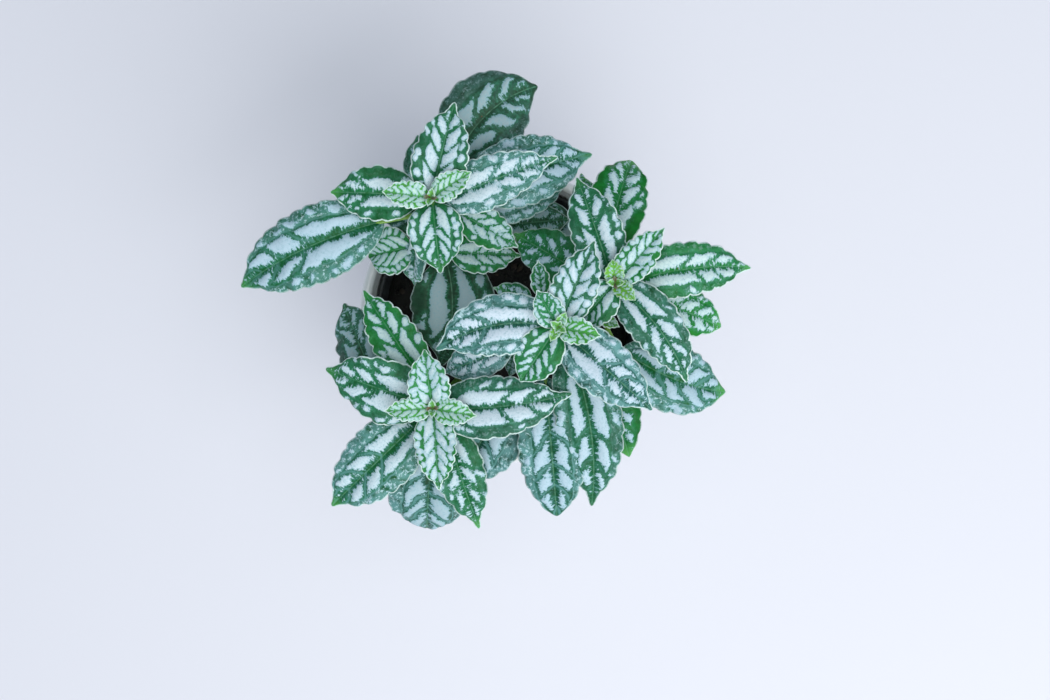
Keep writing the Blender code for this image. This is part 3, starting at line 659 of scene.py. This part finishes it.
def silver_field(leaf, chance, u, v):
    """How far inside a silver patch each point lies, in millimetres, and how far from a cross nerve."""
    whole = half_width(leaf, u)
    scale = leaf.width / GROWN_WIDTH
    bend = (0.3 + 0.5 * leaf.age) * leaf.width / GROWN_WIDTH
    aside = bend * wobble(chance, u * leaf.length, v * whole, BEND_WAVE)
    y = np.clip(np.abs(v) * whole + aside * np.clip(u * 5.0, 0.0, 1.0), 0.0, whole)
    u = u + bend * wobble(chance, u * leaf.length, v * whole, BEND_WAVE) / leaf.length
    lateral = lateral_share(u) * whole
    lean = CROSS_LEAN * leaf.width / leaf.length
    start = u - lean * np.minimum(y / np.maximum(lateral, 0.3), 1.5) ** CROSS_CURVE
    slope = lean * leaf.length * CROSS_CURVE / np.maximum(lateral, 1.0)
    green = np.interp(leaf.age, (0.0, 0.2, 0.5, 1.0), (0.25, 0.3, 0.6, 1.0)) * scale * leaf.cover
    found, branch = np.full(u.shape, FAR_OUTSIDE), np.full(u.shape, -FAR_OUTSIDE)
    for side in (-1.0, 1.0):
        nerves = cross_nerves(leaf, chance)
        near = np.min([np.abs(start - n) for n in nerves], axis=0) * leaf.length / np.sqrt(1.0 + slope ** 2)
        middle = (0.15 + 1.75 * green) * (1.0 - 0.5 * u)
        inner = smooth_least(y - middle, lateral - y - (0.1 + 0.8 * green), 1.2 * scale)
        inner = smooth_least(inner, near - (0.1 + 0.7 * green), 1.5 * scale)
        inner = smooth_least(inner, whole - y - 0.3 - 1.3 * green, 1.2 * scale)
        inner = np.minimum(inner, u * leaf.length - 1.2)
        spots = margin_spots(leaf, chance, u, y)
        found = np.where(v * side >= 0.0, np.maximum(inner, spots), found)
        branch = np.where((v * side >= 0.0) & (y < lateral), near, branch)
    return found, branch


def blade_sheet(stem, leaf, seed):
    """One blade as a sheet: its points, faces and fields."""
    chance = np.random.default_rng(seed)
    cell = CELL * np.clip(leaf.length / CELL_LENGTH, 0.5, 1.0)
    rows, columns = round(leaf.length / cell), 2 * round(leaf.width / cell / 2.0)
    u, v = np.meshgrid(np.linspace(0.0, 1.0, rows + 1), np.linspace(-1.0, 1.0, columns + 1), indexing="ij")
    grid = np.linspace(0.0, 1.0, MIDRIB_STEPS + 1)
    middle, side, out = (np.stack([np.interp(u, grid, line[:, i]) for i in range(3)], axis=-1)
                         for line in midrib(stem, leaf))
    whole = half_width(leaf, u)
    half = np.maximum(whole - scallop(leaf, u), 0.12)

    # A trough along the midrib whose sides arch over and flutter at the margin.
    keel, arch = 0.8 - 0.38 * leaf.age, 0.4 + 0.08 * leaf.age
    wave = 0.1 * np.sin(3.0 * np.pi * u + 2.4 * (seed % 100) + np.sign(v))
    flutter = 0.07 * np.sin(2.0 * np.pi * u * leaf.length / FLUTTER_WAVE + seed + np.sign(v)) * v ** 4
    lift = whole * (keel * np.abs(v) + (wave - arch) * v * v + flutter)

    # The silver patches are puffed up and the lateral nerves sunk.
    y = np.abs(v) * whole
    outer = y - lateral_share(u) * whole
    lateral = np.abs(outer)
    silver, branch = silver_field(leaf, chance, u, v)
    puff = (0.35 + 0.65 * leaf.age) * min(1.0, leaf.width / PUFF_WIDTH)
    lift = lift + puff * (1.0 - np.exp(-np.clip(silver + 0.5, 0.0, None) / PUFF_SLOPE))
    lift = lift - 0.35 * puff * np.exp(-(lateral / 0.5) ** 2) * np.clip(u / 0.1, 0.0, 1.0)

    places = middle + side * (half * v)[..., None] + out * lift[..., None]
    i, j = np.meshgrid(np.arange(rows), np.arange(columns), indexing="ij")
    corner = i * (columns + 1) + j
    faces = np.stack([corner, corner + columns + 1, corner + columns + 2, corner + 1], axis=-1)
    plan = np.stack([u * leaf.length, v * whole, np.full(u.shape, 13.7 * (seed % 97))], axis=-1)
    fields = {
        "silver": silver,
        "rag": 0.3 + 0.7 * np.exp(-np.clip(y - 1.5, 0.0, None) / 1.8),
        "rib": y,
        "lateral": lateral,
        "branch": branch,
        "outer": outer,
        "edge": half * (1.0 - np.abs(v)),
        "tip": (1.0 - u) * leaf.length,
        "age": np.full(u.shape, leaf.age),
        "tone": np.full(u.shape, leaf.tone),
        "frost": np.full(u.shape, leaf.frost),
    }
    flat = {"plan": plan.reshape(-1, 3)} | {name: values.ravel() for name, values in fields.items()}
    return places.reshape(-1, 3), faces.reshape(-1, 4), flat


def tip_leaflets(stem):
    """Two crosswise pairs of unopened leaflets at a growing tip, the inner one brown between large leaves."""
    first = stem.leaves[0]
    inmost = -0.2 if first.length > 8 else 0.02
    leaflets = []
    for turn, age, length, width, rise in ((86.0, 0.02, 5.0, 3.2, 64),
                                           (-94.0, 0.02, 5.0, 3.2, 64),
                                           (5.0, inmost, 3.2, 2.0, 62),
                                           (184.0, inmost, 3.2, 2.0, 62)):
        heading = first.bearing + turn
        leaflets.append(first._replace(node=stem.tip[2] - 0.5, bearing=heading, petiole=0.6, heading=heading,
                                       length=length, width=width, rise=rise, droop=24, age=age, cover=4.0))
    return leaflets


def plan_of(tree):
    """Where a point lies on its own blade: along and across in millimetres, and a number for the blade."""
    return add(tree, "Attribute", out=1, attribute_name="plan")


def ragged(tree, place, scale, detail, roughness, height):
    """Noise about nought, of this height from its lowest to its highest."""
    level = add(tree, "Math", noise(tree, place, scale, detail, roughness), 0.5, operation="SUBTRACT")
    return times(tree, level, height)


# The green of a blade, which its two sides share: its age gives most of it, its tone the rest.
BUD_BROWN, BUD_GREEN, YOUNG_GREEN = (0.20, 0.06, 0.02), (0.19, 0.53, 0.03), (0.030, 0.300, 0.030)
BLUE_GREEN, LEAF_GREEN, OLD_GREEN = (0.006, 0.052, 0.037), (0.004, 0.200, 0.014), (0.020, 0.072, 0.038)
living = bpy.data.node_groups.new("living_green", "ShaderNodeTree")
for name, kind, way in (("Age", "Float", "INPUT"), ("Tone", "Float", "INPUT"), ("Plan", "Vector", "INPUT"),
                        ("Colour", "Color", "OUTPUT")):
    living.interface.new_socket(name, in_out=way, socket_type="NodeSocket" + kind)
given = living.nodes.new("NodeGroupInput").outputs
fresh = blend(living, fade(living, given["Age"], 0.0, 0.22), BUD_GREEN, YOUNG_GREEN)
fresh = blend(living, fade(living, given["Age"], 0.0, -0.2), fresh, BUD_BROWN)
grown = blend(living, given["Tone"], BLUE_GREEN, LEAF_GREEN)
grown = blend(living, fade(living, given["Age"], 0.9, 1.0), grown, OLD_GREEN)
green = blend(living, fade(living, given["Age"], 0.15, 0.42), fresh, grown)
mottle = noise(living, given["Plan"], 0.35, 3.0)
shade = add(living, "MapRange", mottle, 0.25, 0.75, 0.6, 1.15)
green = add(living, "VectorMath", green, None, None, shade, operation="SCALE")
living.links.new(green, living.nodes.new("NodeGroupOutput").inputs["Colour"])


def tissue(tree):
    """The green of a blade, from the group that both sides share."""
    group = tree.nodes.new("ShaderNodeGroup")
    group.node_tree = living
    for socket, source in zip(group.inputs, (number(tree, "age"), number(tree, "tone"), plan_of(tree))):
        tree.links.new(source, socket)
    return group.outputs["Colour"]


upper, tree, shader = finish("blade_upper_side", 0.36)
shader.inputs["Specular IOR Level"].default_value = 0.15
# frost gives each blade's white flecks and how strong its painted sheen and painted nerve highlights are.
plan, age, tone, frost = plan_of(tree), number(tree, "age"), number(tree, "tone"), number(tree, "frost")

# Where the silver lies: its edge is combed outwards from the midrib, and rougher on older blades.
stretched = add(tree, "Mapping", plan, None, (0.0, 0.0, 0.5), (1.15, 0.38, 1.0))
comb = ragged(tree, stretched, 1.0, 4.0, 0.65, times(tree, number(tree, "rag"), 6.5))
ripple = ragged(tree, plan, 0.9, 4.0, 0.75, 3.2)
strength = fade(tree, age, 0.3, 0.85, 0.2, 1.0)
silver = sums(tree, number(tree, "silver"), times(tree, sums(tree, comb, ripple), strength))
patch = times(tree, fade(tree, silver, -0.10, 0.16), fade(tree, age, -0.15, -0.05))

# The green between: a thin veil of silver beside the patches, tinted teal by a painted sheen on frosted
# blades, a painted sheen and white flecks on the outer band, painted highlights along the nerves, and a fresh
# green tip.
VEIL, VEIL_WITH_SHEEN, PAINTED_SHEEN = (0.045, 0.250, 0.130), (0.080, 0.260, 0.260), (0.150, 0.350, 0.360)
NERVE_HIGHLIGHT, FLECK, FRESH_TIP = (0.115, 0.300, 0.290), (0.42, 0.62, 0.66), (0.08, 0.36, 0.07)
veil = sums(tree, silver, ragged(tree, plan, 0.6, 4.0, 0.7, 5.0))
veil = times(tree, fade(tree, veil, -1.9, 0.2), fade(tree, age, 0.1, 0.8, 0.2, 0.5))
# Painted sheen: on frosted blades the veil beside the patches is tinted teal.
green = blend(tree, veil, tissue(tree), blend(tree, frost, VEIL, VEIL_WITH_SHEEN))
outer = times(tree, fade(tree, number(tree, "outer"), -1.0, 1.5), frost)
# Painted sheen: a mottled teal reflection of the sky over the outer band of frosted blades.
painted_sheen = times(tree, fade(tree, noise(tree, plan, 0.35, 3.0, 0.6), 0.25, 0.6), outer)
green = blend(tree, times(tree, painted_sheen, 0.85), green, PAINTED_SHEEN)
# Painted highlight: the middle of the nerves is lightened on frosted blades.
nerve = add(tree, "Math", number(tree, "lateral"), number(tree, "branch"), operation="MINIMUM")
nerve = sums(tree, nerve, times(tree, noise(tree, plan, 0.9, 2.0), 0.5))
nerve = times(tree, fade(tree, nerve, 0.8, 0.4), fade(tree, frost, 0.0, 1.0, 0.0, 0.75))
green = blend(tree, nerve, green, NERVE_HIGHLIGHT)
fleck = fade(tree, noise(tree, plan, 0.75, 5.0, 0.7), 0.53, 0.60, 0.0, 0.9)
green = blend(tree, times(tree, fleck, fade(tree, outer, 0.0, 0.65)), green, FLECK)
tip = times(tree, fade(tree, number(tree, "tip"), 8.0, 0.5), fade(tree, age, 0.4, 0.6, 0.0, 0.8))
tip = times(tree, tip, fade(tree, tone, 0.25, 0.5))
green = blend(tree, tip, green, FRESH_TIP)

# The silver: blue white, greener on buds, greyer and darker on old blades, partly the duller silver of age
# and partly painted shade for the old blades low in the plant, with a dark grain and a dimmer edge.
BLUE_SILVER, GREEN_SILVER, BUD_SILVER = (0.60, 0.69, 0.79), (0.55, 0.72, 0.70), (0.58, 0.78, 0.62)
SHADED_GREY_SILVER, SHADED_OLD_SILVER = (0.44, 0.59, 0.68), (0.32, 0.44, 0.47)
SILVER_GRAIN, SILVER_EDGE = (0.22, 0.42, 0.47), (0.26, 0.49, 0.55)
bright = blend(tree, tone, BLUE_SILVER, GREEN_SILVER)
bright = blend(tree, fade(tree, age, 0.25, 0.12), bright, BUD_SILVER)
# Painted shade in part: the silver of old blades is greyed and darkened as if in shade low in the plant.
bright = blend(tree, fade(tree, age, 0.76, 0.9), bright, SHADED_GREY_SILVER)
bright = blend(tree, fade(tree, age, 0.9, 1.0), bright, SHADED_OLD_SILVER)
grain = fade(tree, noise(tree, plan, 1.1, 5.0, 0.85), 0.47, 0.68, 0.0, 0.8)
bright = blend(tree, grain, bright, SILVER_GRAIN)
bright = blend(tree, times(tree, fade(tree, silver, 0.9, 0.1), 0.6), bright, SILVER_EDGE)
colour = blend(tree, patch, green, bright)

# Over both: the midrib's pale line, the pale teeth with a painted highlight along the margin, and a few brown
# specks.
MIDRIB_LINE, PALE_TOOTH_AND_HIGHLIGHT, BROWN_SPECK = (0.12, 0.32, 0.20), (0.66, 0.82, 0.80), (0.12, 0.06, 0.02)
broken = fade(tree, noise(tree, plan, 0.5, 1.0), 0.3, 0.6, 0.1, 0.5)
line = times(tree, fade(tree, number(tree, "rib"), 0.34, 0.12), broken)
colour = blend(tree, line, colour, MIDRIB_LINE)
# The pale edge: partly the pale teeth, partly a painted highlight where the margin turns up.
rim = sums(tree, number(tree, "edge"), times(tree, noise(tree, plan, 0.8, 2.0), 0.9))
rim = times(tree, fade(tree, rim, 1.12, 0.6), fade(tree, age, 0.7, 0.95, 1.0, 0.45))
rim = times(tree, rim, fade(tree, age, -0.1, 0.12, 0.1, 1.0))
colour = blend(tree, rim, colour, PALE_TOOTH_AND_HIGHLIGHT)
speck = fade(tree, noise(tree, plan, 0.55, 2.0, 0.4), 0.80, 0.82)
colour = blend(tree, speck, colour, BROWN_SPECK)
relief = sums(tree, times(tree, patch, 0.5), noise(tree, plan, 2.0, 3.0, 0.6))
join(tree, shader, Base_Color=colour, Roughness=fade(tree, patch, 0.0, 1.0, 0.34, 0.46),
     Normal=bumps(tree, 0.5, 0.0004, relief))

# The underside: the same green, paler, with raised nerves and lighter hollows under the patches.
UNDERSIDE, UNDERSIDE_NERVE, HOLLOW = (0.20, 0.36, 0.19), (0.28, 0.46, 0.22), (0.30, 0.44, 0.32)
lower, tree, shader = finish("blade_underside", 0.6)
pale = blend(tree, 0.55, tissue(tree), UNDERSIDE)
nerve = add(tree, "Math", number(tree, "rib"), number(tree, "lateral"), operation="MINIMUM")
nerve = times(tree, fade(tree, nerve, 0.2, 0.7, 1.0, 0.0), 0.6)
pale = blend(tree, nerve, pale, UNDERSIDE_NERVE)
hollow = fade(tree, number(tree, "silver"), -0.3, 0.6, 0.0, 0.35)
join(tree, shader, Base_Color=blend(tree, hollow, pale, HOLLOW),
     Normal=bumps(tree, 0.35, 0.0003, noise(tree, plan_of(tree), 2.2, 3.0)))

for letter, stem in enumerate(STEMS):
    places, faces, fields = [], [], {}
    for order, leaf in enumerate([*stem.leaves, *tip_leaflets(stem)]):
        sheet, corners, numbers = blade_sheet(stem, leaf, 100 * letter + order)
        faces.append(corners + sum(len(p) for p in places))
        places.append(sheet)
        for name, values in numbers.items():
            fields.setdefault(name, []).append(values)
    fields = {name: np.concatenate(parts) for name, parts in fields.items()}
    blades = new_piece(stem.name.replace("leafy_stem", "blades"), np.concatenate(places),
                       np.concatenate(faces).tolist(), **fields)
    blades.data.materials.append(upper)
    blades.data.materials.append(lower)
    shell = blades.modifiers.new("thickness", "SOLIDIFY")
    shell.thickness = BLADE_THICKNESS * MM
    shell.offset = -1.0
    shell.material_offset = 1
    bpy.ops.object.select_all(action="DESELECT")
    blades.select_set(True)
    bpy.context.view_layer.objects.active = blades
    bpy.ops.object.modifier_apply(modifier=shell.name)
    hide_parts(stem.name)
    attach(blades, "root")
